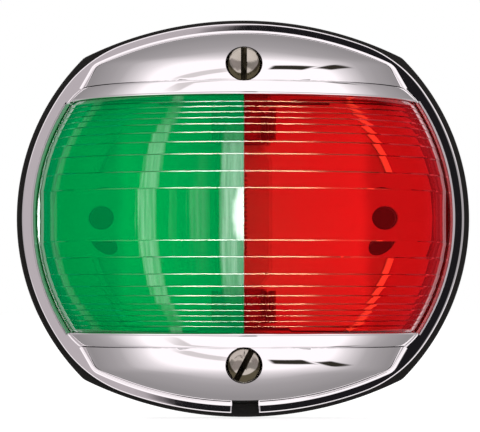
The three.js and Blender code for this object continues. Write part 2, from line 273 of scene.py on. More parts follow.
def finish_piece(piece, slot, node, sharp=32, weighted=True):
    """Shades a piece, gives it its material and lets it ride in place of its CAD node."""
    for polygon in piece.data.polygons:
        polygon.use_smooth = True
    piece.data.set_sharp_from_angle(angle=radians(sharp))
    piece.data.materials.clear()
    piece.data.materials.append(materials[slot])
    if weighted:
        modifier = piece.modifiers.new("normals", "WEIGHTED_NORMAL")
        modifier.keep_sharp = True
    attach(piece, body_of_node[node])
    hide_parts(node)


# ------ flat outlines


def arc(cx, cy, radius, start, end, steps):
    turn = (end - start) / steps
    return [
        (cx + radius * cos(start + turn * i), cy + radius * sin(start + turn * i))
        for i in range(steps + 1)
    ]


def circle(cx, cy, radius, steps=40):
    return arc(cx, cy, radius, 0, 2 * pi, steps)[:-1]


def edge_radius(angle, side_inset, arch_inset, corner):
    """Distance from the centre to the light's outline, in the direction of angle."""
    side = SIDE_RADIUS - side_inset
    arch = ARCH_RADIUS - arch_inset
    blend = corner - side_inset if corner - side_inset > 0.3 else 0.3
    cy = ((arch - blend) ** 2 - (side - blend) ** 2 - ARCH_DROP**2) / (2 * ARCH_DROP)
    cx = sqrt((side - blend) ** 2 - cy**2)
    low = atan2(cy, cx)
    high = atan2(cy + ARCH_DROP, cx)
    touch = atan2(cy + blend * sin(high), cx + blend * cos(high))
    ux, uy = abs(cos(angle)), abs(sin(angle))
    here = atan2(uy, ux)
    if here < low:
        return side
    centre = (cx, cy, blend) if here < touch else (0, -ARCH_DROP, arch)
    along = centre[0] * ux + centre[1] * uy
    return along + sqrt(along**2 - centre[0] ** 2 - centre[1] ** 2 + centre[2] ** 2)


def outline(inset, corner, steps=240):
    loop = []
    for i in range(steps):
        angle = 2 * pi * i / steps
        radius = edge_radius(angle, inset, inset, corner)
        loop.append((radius * cos(angle), radius * sin(angle)))
    return loop


def drum(radius, half_height, steps=48):
    """A circle with its top and bottom cut off flat."""
    end = asin(half_height / radius)
    return arc(0, 0, radius, -end, end, steps) + arc(0, 0, radius, pi - end, pi + end, steps)


def shrink(loop, amount):
    """Moves a closed outline inwards, or a hole's outline outwards; outlines run anticlockwise."""
    moved = []
    for i, (x, y) in enumerate(loop):
        (ax, ay), (bx, by) = loop[i - 1], loop[(i + 1) % len(loop)]
        before = Vector((x - ax, y - ay)).normalized()
        after = Vector((bx - x, by - y)).normalized()
        normal = Vector((-before.y - after.y, before.x + after.x)).normalized()
        stretch = max(0.4, normal.dot(Vector((-after.y, after.x))))
        moved.append((x + normal.x * amount / stretch, y + normal.y * amount / stretch))
    return moved


def soften(points, radius, steps=4, closed=True):
    """Rounds the corners of an outline or profile."""
    rounded = []
    count = len(points)
    for i, corner in enumerate(points):
        if not closed and i in (0, count - 1):
            rounded.append(tuple(corner))
            continue
        here = Vector(corner)
        before = Vector(points[i - 1]) - here
        after = Vector(points[(i + 1) % count]) - here
        reach = min(radius, before.length * 0.45, after.length * 0.45)
        a = here + before.normalized() * reach
        b = here + after.normalized() * reach
        for k in range(steps + 1):
            t = k / steps
            p = a * (1 - t) ** 2 + here * (2 * t * (1 - t)) + b * t**2
            rounded.append((p.x, p.y))
    return rounded


def facing_front(u, v, w):
    return (u, v, w)


def slab(name, loops, back, front, edge=0.2, place=facing_front):
    """A plate with rounded edges. loops are its outline and then its holes, all anticlockwise."""
    shell = Shell()
    profile = [(edge * (1 - sin(a)), edge * (1 - cos(a))) for a in (pi / 6 * k for k in range(4))]
    levels = [(inset, back + rise) for inset, rise in profile]
    levels += [(inset, front - rise) for inset, rise in reversed(profile)]
    caps = {back: [], front: []}
    for number, loop in enumerate(loops):
        sign = 1 if number == 0 else -1
        rows = []
        for inset, level in levels:
            moved = shrink(loop, sign * inset)
            rows.append([place(u, v, level) for u, v in moved])
        shell.grid(rows, wrap_columns=True)
        caps[back].append(rows[0])
        caps[front].append(rows[-1])
    for level in (back, front):
        shell.cap(caps[level])
    return build(name, shell)


def cut(piece, tool):
    return combine(piece, tool, "DIFFERENCE")


def drill(piece, centre, radius, back, front, steps=40):
    return cut(piece, slab("hole", [circle(*centre, radius, steps)], back, front, 0.1))


def loft(name, rings):
    """A solid through rings of points, with a flat face at each end."""
    shell = Shell()
    shell.grid(rings, wrap_columns=True)
    shell.face(rings[0])
    shell.face(rings[-1])
    return build(name, shell)


def lathe(name, profile, centre=(0, 0), along="d", steps=64, closed=True):
    """A turned piece from [(radius, distance along the axis)], its axis along d or y."""
    shell = Shell()
    rows = []
    for radius, distance in profile:
        row = []
        for i in range(steps):
            angle = 2 * pi * i / steps
            u, v = centre[0] + radius * cos(angle), centre[1] + radius * sin(angle)
            row.append((u, v, distance) if along == "d" else (u, distance, v))
        rows.append(row)
    shell.grid(rows, wrap_rows=closed, wrap_columns=True)
    return build(name, shell)


def tube(name, path, radius, sides=16):
    """A round rod along a path of points, with flat ends."""
    points = [Vector(p) for p in path]
    rings = []
    normal = None
    for i, here in enumerate(points):
        ahead = points[min(i + 1, len(points) - 1)] - points[max(i - 1, 0)]
        tangent = ahead.normalized()
        if normal is None:
            normal = tangent.orthogonal().normalized()
        normal = (normal - tangent * normal.dot(tangent)).normalized()
        across = tangent.cross(normal)
        ring = []
        for k in range(sides):
            angle = 2 * pi * k / sides
            ring.append(tuple(here + radius * (normal * cos(angle) + across * sin(angle))))
        rings.append(ring)
    return loft(name, rings)


def spline(points, steps=8):
    """A smooth path through the points: a Catmull-Rom curve."""
    padded = [points[0], *points, points[-1]]
    path = []
    for i in range(1, len(padded) - 2):
        a, b, c, e = (Vector(p) for p in padded[i - 1 : i + 3])
        for k in range(steps):
            t = k / steps
            p = 2 * b + (c - a) * t + (2 * a - 5 * b + 4 * c - e) * t**2
            path.append(0.5 * (p + (3 * b - a - 3 * c + e) * t**3))
    path.append(Vector(points[-1]))
    return path


# ------ nodes


class Value:
    """A node's output, which can be used in sums like a number."""

    def __init__(self, graph, socket):
        self.graph = graph
        self.socket = socket

    def __add__(self, other):
        return self.graph.math("ADD", self, other)

    def __sub__(self, other):
        return self.graph.math("SUBTRACT", self, other)

    def __rsub__(self, other):
        return self.graph.math("SUBTRACT", other, self)

    def __mul__(self, other):
        return self.graph.math("MULTIPLY", self, other)

    def __truediv__(self, other):
        return self.graph.math("DIVIDE", self, other)

    def __pow__(self, other):
        return self.graph.math("POWER", self, other)

    def __abs__(self):
        return self.graph.math("ABSOLUTE", self)


class Graph:
    """Short ways to write the nodes of a material or world."""

    def __init__(self, owner):
        owner.use_nodes = True
        self.owner = owner
        self.tree = owner.node_tree
        self.tree.nodes.clear()

    def node(self, kind, inputs=None, **settings):
        made = self.tree.nodes.new("ShaderNode" + kind)
        for name, setting in settings.items():
            setattr(made, name, setting)
        for key, value in (inputs or {}).items():
            if isinstance(value, Value):
                self.tree.links.new(value.socket, made.inputs[key])
            else:
                made.inputs[key].default_value = value
        return made

    def value(self, kind, inputs=None, output=0, **settings):
        return Value(self, self.node(kind, inputs, **settings).outputs[output])

    def parts(self, vector):
        return [Value(self, socket) for socket in self.node("SeparateXYZ", {0: vector}).outputs]

    def rays(self, *names):
        """1 where the ray that looks is of the kind named, and 0 elsewhere."""
        outputs = self.node("LightPath").outputs
        return [Value(self, outputs[name]) for name in names]

    def place(self):
        return self.value("TexCoord", output="Object")

    def math(self, operation, *values):
        return self.value("Math", dict(enumerate(values)), operation=operation)

    def step(self, value, low, high):
        """Rises smoothly from 0 to 1 between low and high."""
        inputs = {"Value": value, "From Min": low, "From Max": high}
        return self.value("MapRange", inputs, interpolation_type="SMOOTHSTEP")

    def within(self, value, low, high, soft):
        return self.step(value, low - soft, low + soft) * self.step(value, high + soft, high - soft)

    def spread(self, value, low, high, margin=0.3):
        """Noise stretched to run between two roughness or brightness values."""
        return self.value("MapRange", {0: value, 1: margin, 2: 1 - margin, 3: low, 4: high})

    def mix(self, factor, a, b):
        return self.value("Mix", {0: factor, 6: a, 7: b}, 2, data_type="RGBA")

    def blend(self, factor, a, b):
        """Mixes two shaders."""
        return self.value("MixShader", {0: factor, 1: a, 2: b})

    def ramp(self, value, stops):
        made = self.node("ValToRGB", {0: value})
        elements = made.color_ramp.elements
        while len(elements) < len(stops):
            elements.new(0.5)
        for element, (place, color) in zip(elements, stops):
            element.position = place
            element.color = color
        return Value(self, made.outputs[0])

    def noise(self, scale, detail=3, roughness=0.5):
        """Noise fixed to the piece; scale is in features per metre."""
        inputs = {"Vector": self.place(), "Scale": scale, "Detail": detail, "Roughness": roughness}
        return self.value("TexNoise", inputs, "Fac")

    def bump(self, height, millimetres):
        return self.value("Bump", {"Height": height, "Distance": millimetres * MM})

    def finish(self, shader, kind="OutputMaterial"):
        self.node(kind, {"Surface": shader})
        return self.owner

    def principled(self, inputs):
        return self.finish(self.value("BsdfPrincipled", inputs))


materials = {}  # by slot


def material_graph(slot):
    materials[slot] = bpy.data.materials.new(slot)
    return Graph(materials[slot])


def grey(value):
    return (value, value, value, 1.0)


def tone(red, green, blue):
    return (red, green, blue, 1.0)


# ------ materials


def chrome_material():
    g = material_graph("chrome")
    inputs = {
        "Base Color": g.mix(g.noise(160, 4), tone(0.93, 0.92, 0.925), tone(0.90, 0.89, 0.90)),
        "Metallic": 1.0,
        "Roughness": g.spread(g.noise(900, 5), 0.015, 0.05),
        "Normal": g.bump(g.noise(45, 2), 0.05),
    }
    return g.principled(inputs)


def plastic_material(name, color, roughness, grain, dust, specular=0.5):
    """Moulded plastic: a fine grain, uneven gloss and a little dust in the grain."""
    g = material_graph(name)
    fine = g.noise(2600, 4)
    broad = g.noise(120, 4)
    inputs = {
        "Base Color": g.mix(broad * fine, color, tone(*(c + dust for c in color[:3]))),
        "Roughness": g.spread(broad, roughness - 0.08, roughness + 0.1),
        "Specular IOR Level": specular,
        "Normal": g.bump(fine, grain),
    }
    return g.principled(inputs)


def reflector_material():
    """Glossy white, with painted shade: a grey tone towards the two sides that only the raised arcs stand out
    of.
    A weak painted glow on the right-hand arcs makes up for the light they lose behind the red half."""
    g = material_graph("white_plastic")
    along, depth, _ = g.parts(g.place())
    soil_and_shade_noise = g.noise(90, 4)
    # painted shade: the plate turns grey towards its two sides, along a ragged edge
    side = g.step(abs(along) + soil_and_shade_noise * (3 * MM), 23.2 * MM, 26.2 * MM)
    arc_foot, arc_wall, arc_top = -7.0 * MM, -7.3 * MM, -7.7 * MM
    red_side = 10 * MM
    # where the painted shade may fall: off the raised arcs, and everywhere on the green side
    low = g.math("MAXIMUM", g.step(depth, arc_wall, arc_foot), g.step(along, red_side, 0))
    white = g.mix(soil_and_shade_noise, tone(0.86, 0.86, 0.83), tone(0.80, 0.79, 0.75))
    inputs = {
        # the grey tone is painted shade; the white's own tone varies with soiling
        "Base Color": g.mix(side * low, white, tone(0.50, 0.50, 0.48)),
        "Roughness": g.spread(g.noise(500, 4), 0.25, 0.4),
        "Normal": g.bump(g.noise(2200, 3), 0.01),
        # painted light: the raised arcs on the right-hand side glow in this colour, though they are no lamp
        "Emission Color": tone(1.0, 1.0, 0.35),
        "Emission Strength": g.step(along, 0, red_side) * (g.step(depth, arc_wall, arc_top) * 0.5),
    }
    return g.principled(inputs)


def rubber_material(name, color):
    g = material_graph(name)
    fine = g.noise(1800, 6, 0.7)
    inputs = {
        "Base Color": g.mix(fine, color, tone(*(c * 2.2 for c in color[:3]))),
        "Roughness": g.spread(fine, 0.62, 0.9),
        "Normal": g.bump(fine, 0.06),
    }
    return g.principled(inputs)


def metal_material(name, color, dull, roughness):
    """Bare metal with a fine rough finish and dulled patches."""
    g = material_graph(name)
    patches = g.noise(420, 5, 0.6)
    inputs = {
        "Base Color": g.mix(g.spread(patches, 0, 1), color, dull),
        "Metallic": 1.0,
        "Roughness": g.spread(patches, roughness, roughness + 0.2),
        "Normal": g.bump(g.noise(1500, 5, 0.6), 0.03),
    }
    return g.principled(inputs)


def steel_material():
    """Polished screw steel, with painted shade: dark down the sides of the head and in a crescent below its
    middle.
    """
    g = material_graph("steel")
    across, depth, up = g.parts(g.place())
    patches = g.noise(420, 5, 0.6)
    crown = (HEAD_BACK + 1.1) * MM
    # painted shade down the sides of the head, below its crown
    low = g.step(depth + patches * (0.2 * MM), -crown, -crown + 0.5 * MM)
    # centre of the part of the head left unshaded; the crescent of painted shade lies outside its reach
    bright_centre = 0.9 * MM  # above the middle of the head
    height = up - g.math("SIGN", up) * (SCREW_HEIGHT * MM) - bright_centre
    reach = g.math("SQRT", height**2 + across**2) + patches * (0.5 * MM)
    low = g.math("MAXIMUM", low, g.step(reach, 2.75 * MM, 2.95 * MM))
    light = g.mix(patches, tone(0.60, 0.57, 0.51), tone(0.36, 0.33, 0.27))
    inputs = {
        # the dark tone is painted shade, not the steel's own colour
        "Base Color": g.mix(low, light, tone(0.085, 0.075, 0.045)),
        "Metallic": 1.0,
        "Roughness": g.spread(patches, 0.06, 0.16),
        "Normal": g.bump(g.noise(700, 4), 0.02),
    }
    return g.principled(inputs)


def lens_material(name, tint, haze, cloudiness):
    """Coloured acrylic, a little cloudy. Light that has left another surface passes straight through."""
    g = material_graph(name)
    ior = 1.49
    ripple = g.bump(g.noise(80, 2), 0.02)
    through = {"Color": tint, "IOR": ior, "Roughness": g.spread(g.noise(300, 3), 0.0, 0.04), "Normal": ripple}
    through = g.value("BsdfRefraction", through)
    gloss = g.value("BsdfGlossy", {"Color": grey(1.0), "Roughness": 0.0, "Normal": ripple})
    share = g.value("Fresnel", {"IOR": ior, "Normal": ripple})
    outside = 1.0 - g.value("NewGeometry", output="Backfacing")
    edge_on = g.step(g.value("LayerWeight", {0: 0.5}, "Facing"), 0.45, 0.7)
    milky = edge_on * (outside * 0.4) + cloudiness
    through = g.blend(milky, through, g.value("BsdfDiffuse", {"Color": haze}))
    surface = g.blend(share * outside, through, gloss)
    surface = g.blend(g.step(share, 0.9, 0.99), surface, gloss)
    indirect = g.math("MAXIMUM", *g.rays("Is Diffuse Ray", "Is Shadow Ray"))
    return g.finish(g.blend(indirect, surface, g.value("BsdfTransparent", {"Color": tint})))


def glass_material():
    """Thin glass that doesn't bend the view through it; it is clear when seen through the lens."""
    g = material_graph("lamp_glass")
    inputs = {"Color": tone(0.97, 0.99, 0.98), "Roughness": g.spread(g.noise(200, 2), 0.0, 0.03), "IOR": 1.02}
    glass = g.value("BsdfGlass", inputs)
    diffuse, shadow, transmission = g.rays("Is Diffuse Ray", "Is Shadow Ray", "Is Transmission Ray")
    indirect = g.math("MAXIMUM", g.math("MAXIMUM", diffuse, shadow), transmission)
    return g.finish(g.blend(indirect, glass, g.value("BsdfTransparent", {"Color": tone(0.93, 0.95, 0.94)})))


chrome_material()
plastic_material("black_plastic", tone(0.005, 0.0045, 0.004), 0.42, 0.03, 0.006, 0.12)
reflector_material()
plastic_material("nylon", tone(0.72, 0.69, 0.60), 0.45, 0.02, 0.05)
plastic_material("red_wire", tone(0.42, 0.012, 0.012), 0.38, 0.02, 0.04)
plastic_material("black_wire", tone(0.012, 0.012, 0.012), 0.38, 0.02, 0.03)
rubber_material("rubber", tone(0.012, 0.012, 0.013))
rubber_material("nitrile", tone(0.022, 0.022, 0.024))
metal_material("brass", tone(0.46, 0.31, 0.12), tone(0.24, 0.15, 0.06), 0.18)
metal_material("nickel", tone(0.42, 0.40, 0.36), tone(0.20, 0.185, 0.17), 0.16)
steel_material()
metal_material("tungsten", tone(0.55, 0.53, 0.50), tone(0.40, 0.39, 0.38), 0.3)
lens_material("green_lens", tone(0.0, 0.785, 0.50), tone(0.0, 0.27, 0.075), 0.33)
lens_material("red_lens", tone(0.955, 0.27, 0.29), tone(0.55, 0.012, 0.018), 0.07)
glass_material()

# ------ base and its fittings


def finish_pair(maker, slot, stem):
    """The same fitting above (side 1) and below (side -1) the middle."""
    for side, end in ((1, "top"), (-1, "bottom")):
        node = f"{stem}_{end}"
        finish_piece(maker(node + "_look", side), slot, node)


def screw_boss(side):
    radius, bore, flat = 4.2, 2.7, FOOT_HALF_HEIGHT + GAP
    y = side * SCREW_HEIGHT
    section = soften([(u, side * max(side * v, flat)) for u, v in circle(0, y, radius, 60)], 0.4, 2)
    return slab("boss", [section, circle(0, y, bore)], BASE_FLOOR - 0.6, BOSS_FRONT, 0.3)


def base_rib(side, x):
    half = 0.6
    low, high = sorted((side * 24.6, side * (33.5 - abs(x) / 8)))
    loop = [(x - half, low), (x + half, low), (x + half, high), (x - half, high)]
    return slab("rib", [soften(loop, 0.2, 2)], BASE_FLOOR - 0.5, BASE_LEDGE - 0.6, 0.12)


def base_housing():
    base = slab("base_look", [outline(0, BASE_CORNER, 480)], BASE_BACK, BASE_LEDGE, 0.3)
    before, spacer_radius, wire_hole = 9, 4.45, 4
    cut(base, slab("recess", [outline(RECESS_INSET, BASE_CORNER + RECESS_INSET)], BASE_FLOOR, before, 0.4))
    for side in (-1, 1):
        combine(base, screw_boss(side))
        for x in (-20, -10, 10, 20):
            combine(base, base_rib(side, x))
        ring = circle(side * HOLE_X, 0, spacer_radius)
        combine(base, slab("spacer", [ring], BASE_FLOOR - 0.6, PLATE_BACK - GAP))
        drill(base, (side * HOLE_X, 0), HOLE_RADIUS, 0, before)
    drill(base, (WIRE_HOLE_X, 0), wire_hole, 0, before)
    finish_piece(base, "black_plastic", "base_housing")


def hull_gasket():
    loops = [outline(0.8, BASE_CORNER, 360)]
    loops += [circle(side * HOLE_X, 0, HOLE_RADIUS + 0.4) for side in (-1, 1)]
    loops.append(circle(WIRE_HOLE_X, 0, 5.8))
    finish_piece(slab("gasket_look", loops, 0, GASKET_FRONT, 0.25), "rubber", "hull_gasket")


def wire_grommet():
    profile = [(2.6, 0.7), (5.2, 0.7), (5.2, 1.5), (3.7, 1.5), (3.7, 3.2), (2.6, 3.2)]
    finish_piece(lathe("grommet_look", soften(profile, 0.3), (WIRE_HOLE_X, 0)), "rubber", "wire_grommet")


def threaded_insert(name, side):
    back, front = depth_range("threaded_insert_top")
    outer, bore = 2.4, 1.85
    profile = [(bore, back), (outer, back)]
    for k in range(12):  # barbed rings that grip the boss
        d = back + 0.6 + k * 0.65
        profile += [(outer, d), (outer - 0.15, d + 0.05), (outer - 0.15, d + 0.3)]
    profile += [(outer, front - 0.2), (outer - 0.2, front), (bore + 0.2, front)]
    for k in range(18):  # the thread
        d = front - 0.3 - k * 0.45
        profile += [(bore + 0.12, d), (bore, d - 0.2)]
    return lathe(name, profile, (0, side * SCREW_HEIGHT), steps=40)


def lens_seal():
    ring = [drum(FOOT_RADIUS - 0.3, FOOT_HALF_HEIGHT - 0.2), drum(FOOT_RADIUS - 2.6, FOOT_HALF_HEIGHT - 2.2)]
    back, front = depth_range("lens_seal")
    finish_piece(slab("seal_look", ring, back, front, 0.3), "nitrile", "lens_seal")


def dish_ring(side, half):
    """One of the four raised arcs on the reflector plate, which leave the screw holes free."""
    end = half * asin((PLATE_HALF_HEIGHT - 0.3) / DISH_RADIUS)
    start = half * radians(14)
    section = soften([(-0.75, 6.4), (0.75, 6.4), (0.5, 7.9), (-0.5, 7.9)], 0.25)
    rings = []
    for k in range(31):
        angle = start + (end - start) * k / 30
        ring = []
        for r, d in section:
            ring.append((side * (DISH_RADIUS + r) * cos(angle), (DISH_RADIUS + r) * sin(angle), d))
        rings.append(ring)
    return loft("arc", rings)


def reflector_plate():
    loops = [drum(PLATE_RADIUS, PLATE_HALF_HEIGHT)]
    loops += [circle(side * HOLE_X, 0, HOLE_RADIUS + 0.15) for side in (-1, 1)]
    loops += [circle(0, side * CLIP_HEIGHT, RIVET_HOLE, 24) for side in (-1, 1)]
    plate = slab("reflector_look", loops, PLATE_BACK, PLATE_FRONT)
    for side in (-1, 1):
        for half in (-1, 1):
            combine(plate, dish_ring(side, half))
    finish_piece(plate, "white_plastic", "reflector_plate")


def lamp_contact(name, side):
    inner, outer, flare = CAP_RADIUS + GAP, CAP_RADIUS + GAP + 0.6, 0.8
    foot, top = 7.0, LAMP_DEPTH + 3
    half = [(outer, foot), (outer, top - 1), (outer + flare, top), (inner + flare, top), (inner, top - 1)]
    half += [(inner, foot + 0.6)]
    fork = half + [(-x, z) for x, z in reversed(half)]
    centre = side * CLIP_HEIGHT

    def place(u, v, w):
        return (u, centre + w, v)

    strip = slab(name, [soften(fork, 0.5, 4)], -3, 3, 0.12, place)
    return drill(strip, (0, centre), RIVET_HOLE, 5, 9, 24)


def contact_rivet(name, side):
    head = 7.8
    back, tail, shank, radius = 3.75, 2, 1.2, 2.2
    profile = [(0, back), (tail, back), (tail, back + 0.55), (shank, back + 0.55)]
    profile += [(shank, head), (radius, head)]
    profile = soften(profile, 0.15, 3, closed=False)
    for k in range(1, 8):  # the dome of the head
        a = pi / 16 * k
        profile.append((radius * cos(a), head + 0.1 + 0.9 * sin(a)))
    profile.append((0, head + 1))
    return lathe(name, profile, (0, side * CLIP_HEIGHT), steps=32, closed=False)


def wire_terminal(name, side):
    centre = side * CLIP_HEIGHT
    ring = slab(name, [circle(0, centre, 2.7), circle(0, centre, 1.45)], 4.6, 5.2, 0.1)
    rings = []
    for k in range(17):
        pinch = 1 - 0.16 * exp(-(((k - 9) / 2.5) ** 2))  # where the crimp squeezes it
        half_width, half_height = pinch**-0.5, 0.62 * pinch
        angles = [pi / 10 * i for i in range(20)]
        x = 2.0 + 4.5 * k / 16
        rings.append([(x, centre + half_width * cos(a), 4.5 + half_height * sin(a)) for a in angles])
    return combine(ring, loft("barrel", rings))


def wire(name, side):
    clip, bend = CLIP_HEIGHT, 4.5
    points = [(6.8, clip, bend), (9.3, clip - 0.2, bend), (12.1, clip - 3.6, bend), (12.5, 5, bend)]
    points += [(12.5, 2, 4.1), (12.5, 1.1, 3), (12.5, 1.1, 0.5)]
    return tube(name, spline([(x, side * y, d) for x, y, d in points], 10), 0.8, 20)


def make_base():
    base_housing()
    hull_gasket()
    wire_grommet()
    lens_seal()
    reflector_plate()
    finish_pair(threaded_insert, "brass", "threaded_insert")
    finish_pair(lamp_contact, "brass", "lamp_contact")
    finish_pair(contact_rivet, "brass", "contact_rivet")
    finish_pair(wire_terminal, "nickel", "wire_terminal")
    finish_piece(wire("wire_positive_look", 1), "red_wire", "wire_positive")
    finish_piece(wire("wire_negative_look", -1), "black_wire", "wire_negative")


# ------ lamp


def lamp_envelope():
    neck, neck_end, shoulder = CAP_RADIUS - 0.9, LAMP_HALF - CAP_LENGTH + 3, LAMP_HALF - CAP_LENGTH - 0.5
    half = [(neck, neck_end), (neck, shoulder + 0.2), (GLASS_RADIUS, shoulder - 2)]
    outer = [(r, -y) for r, y in half] + half[::-1]
    outer = soften(outer, 1.4, 6, closed=False)
    inner = [(r - 0.6, y) for r, y in outer][::-1]
    piece = lathe("lamp_glass_look", outer + inner, (0, LAMP_DEPTH), "y", 72)
    finish_piece(piece, "lamp_glass", "lamp_glass", sharp=60, weighted=False)


def lamp_cap(name, side):
    end, mouth, neck = LAMP_HALF, LAMP_HALF - CAP_LENGTH, CAP_RADIUS - 0.6
    inside = [(0, end - 1), (neck, end - 2.8), (neck, mouth)]
    skirt = [(CAP_RADIUS, mouth), (CAP_RADIUS, mouth + 1.2), (CAP_RADIUS - 0.25, mouth + 1.5)]
    skirt += [(CAP_RADIUS, mouth + 1.8), (CAP_RADIUS, end - 2.2), (2.2, end - 0.4), (1, end), (0, end)]
    profile = inside + soften(skirt, 0.35, 3, closed=False)
    return lathe(name, [(r, side * y) for r, y in profile], (0, LAMP_DEPTH), "y", 64, closed=False)


def lamp_filament():
    coil, turns, coil_radius, reach = 5.5, 14, 0.55, LAMP_HALF - 4.2
    path = [(0, -reach, LAMP_DEPTH), (0, -coil - 1, LAMP_DEPTH)]
    for i in range(turns * 12 + 1):
        angle = i * pi / 6
        y = -coil + 2 * coil * i / (turns * 12)
        path.append((coil_radius * cos(angle), y, LAMP_DEPTH + coil_radius * sin(angle)))
    path += [(0, coil + 1, LAMP_DEPTH), (0, reach, LAMP_DEPTH)]
    finish_piece(tube("lamp_filament_look", path, 0.13, 8), "tungsten", "lamp_filament")


def make_lamp():
    lamp_envelope()
    lamp_filament()
    finish_pair(lamp_cap, "nickel", "lamp_cap")


# ------ lens


def zone_levels():
    """Heights of the upper half of the lens from the top down, each with how far it lies behind the smooth
    outer wall and how far its inner prism is cut into the wall."""
    shallow = 0.03  # how far the ridge edges lie back
    levels = [(LENS_HALF_HEIGHT, BORDER_STEP, 0), (ZONE_EDGES[-1] + 0.05, BORDER_STEP, 0)]
    for far, near in zip(ZONE_EDGES[:0:-1], ZONE_EDGES[-2::-1]):
        prism = MIDDLE_PRISM if near == ZONE_EDGES[0] else shallow - RIDGE_STEP
        start = max(0.0, prism * RIDGE_EDGE / (far - near))
        levels += [(far, RIDGE_STEP, prism), (near + RIDGE_EDGE, shallow, start)]
        levels.append((near + 0.02, RIDGE_EDGE, 0))
    levels.append((ZONE_EDGES[0], RIDGE_EDGE + shallow, 0))
    return levels


def lens_grids(side, columns=56):
    """The outside and inside of half the lens, as grids of the same size."""
    upper = zone_levels()
    wall = [(LENS_HALF_HEIGHT, BORDER_STEP, 0, share) for share in (0.3, 0.6, 0.85)]
    levels = wall + [(y, inset, min(relief, UPPER_PRISM), 1) for y, inset, relief in upper]
    levels += [(-y, inset, relief, 1) for y, inset, relief in reversed(upper)]
    levels += [(-y, inset, relief, share) for y, inset, relief, share in reversed(wall)]

    def bow(half_width, bulge, y, back, share):
        """The bow-shaped wall at one height, from the side of the lens to the seam."""
        limit = acos(SEAM_HALF_GAP / half_width)
        points = []
        for i in range(columns + 1):
            across = cos(limit * i / columns)
            d = RIM_FRONT + bulge * sqrt(max(0.0, 1 - across**2))
            points.append((side * half_width * across, y, back + (d - back) * share))
        return points

    def outside(y, inset, share):
        half_width = sqrt(LENS_RADIUS**2 - y**2) - inset * 0.4
        foot = side * sqrt(FOOT_RADIUS**2 - y**2)
        row = [(foot, y, FOOT_BACK), (foot, y, FOOT_FRONT), (side * half_width, y, FOOT_FRONT)]
        return row + bow(half_width, LENS_BULGE - inset, y, FOOT_FRONT, share)

    def inside(y, relief, share):
        y = max(-CAVITY_HALF_HEIGHT, min(CAVITY_HALF_HEIGHT, y))
        half_width = sqrt(CAVITY_RADIUS**2 - y**2)
        row = [(side * half_width, y, FOOT_BACK)] * 3
        return row + bow(half_width, CAVITY_BULGE + relief, y, FOOT_BACK, share)

    def foot_flange(end):
        """The rows round the flat top (end 1) or bottom (end -1) of the foot."""
        y = end * FOOT_HALF_HEIGHT
        foot = side * sqrt(FOOT_RADIUS**2 - y**2)
        flat = outside(end * LENS_HALF_HEIGHT, BORDER_STEP, 0)
        rows = []
        for d in (FOOT_BACK, FOOT_FRONT):
            row = [(foot, y, FOOT_BACK), (foot, y, d), (foot, y, d)]
            rows.append(row + [(x, y, d) for x, _, _ in flat[3:]])
        return rows + [flat]

    outer = foot_flange(1) + [outside(y, inset, share) for y, inset, _, share in levels]
    outer += foot_flange(-1)[::-1]
    inner = [inside(LENS_HALF_HEIGHT, 0, 0)] * 3
    inner += [inside(y, relief, share) for y, _, relief, share in levels]
    inner += [inside(-LENS_HALF_HEIGHT, 0, 0)] * 3
    return outer, inner


def make_lens():
    for color, side in (("green", -1), ("red", 1)):
        shell = Shell()
        shell.thick_grid(*lens_grids(side))
        node = "lens_" + color
        finish_piece(build(node + "_look", shell), color + "_lens", node, sharp=12, weighted=False)


# ------ chrome cover


def lip_point(across, y, inset):
    """The band between the lens opening and the crease, which leans back a little."""
    rise = y - WINDOW_HALF_HEIGHT
    tuck = LIP_TUCK * (max(0.0, rise) / (CREASE - WINDOW_HALF_HEIGHT)) ** 2
    half_width = sqrt((RAISED_SIDE - inset) ** 2 - y**2) - tuck
    lean, curl = 0.16, 0.04
    bulge = LIP_BULGE - lean * rise - curl * rise**2 - inset
    depth = RIM_FRONT + HOOD_FILLET + (bulge - HOOD_FILLET) * sqrt(max(0.0, 1 - across**2))
    return (half_width * across, y, depth)


# The border of a hood on the rim: a slanted side, a rounded corner and a wide arch over the top.
SIDE_OUT = Vector((cos(radians(SIDE_TILT)), sin(radians(SIDE_TILT))))
ARCH_CENTRE = Vector((0, -ARCH_DROP))


def corner_centre():
    """Centre of the rounded corner, which touches the slanted side and the arch."""
    start = Vector((DOME_SIDE, CREASE)) - DOME_CORNER * SIDE_OUT
    along = Vector((-SIDE_OUT.y, SIDE_OUT.x))
    gap = start - ARCH_CENTRE
    near = gap.dot(along)
    far = sqrt(near**2 - gap.length_squared + (RAISED_ARCH - DOME_CORNER) ** 2)
    return start + along * (far - near)


CORNER = corner_centre()
CORNER_TURN = atan2(CORNER.y + ARCH_DROP, CORNER.x)
SIDE_END = CORNER + DOME_CORNER * SIDE_OUT


def hood_border():
    """The edge of a hood on the rim, from the crease on the right to the middle of the top."""
    path = [tuple(Vector((DOME_SIDE, CREASE)).lerp(SIDE_END, k / 10)) for k in range(10)]
    path += arc(CORNER.x, CORNER.y, DOME_CORNER, radians(SIDE_TILT), CORNER_TURN, 40)
    path += arc(0, -ARCH_DROP, RAISED_ARCH, CORNER_TURN, pi / 2, 120)[1:]
    return path


BORDER = hood_border()
BORDER_LENGTHS = [0.0]
for start, end in zip(BORDER, BORDER[1:]):
    BORDER_LENGTHS.append(BORDER_LENGTHS[-1] + dist(start, end))


def border_at(share):
    """A point of the hood's border and its outward direction; share is 0 at the top and 1 at the crease."""
    wanted = (1 - share) * BORDER_LENGTHS[-1]
    k = 0
    while k < len(BORDER) - 2 and BORDER_LENGTHS[k + 1] < wanted:
        k += 1
    t = (wanted - BORDER_LENGTHS[k]) / (BORDER_LENGTHS[k + 1] - BORDER_LENGTHS[k])
    point = Vector(BORDER[k]).lerp(Vector(BORDER[k + 1]), t)
    if point.y <= SIDE_END.y:
        return point, SIDE_OUT.copy()
    out = point - CORNER
    if atan2(out.y, out.x) > CORNER_TURN:
        out = point - ARCH_CENTRE
    return point, out.normalized()


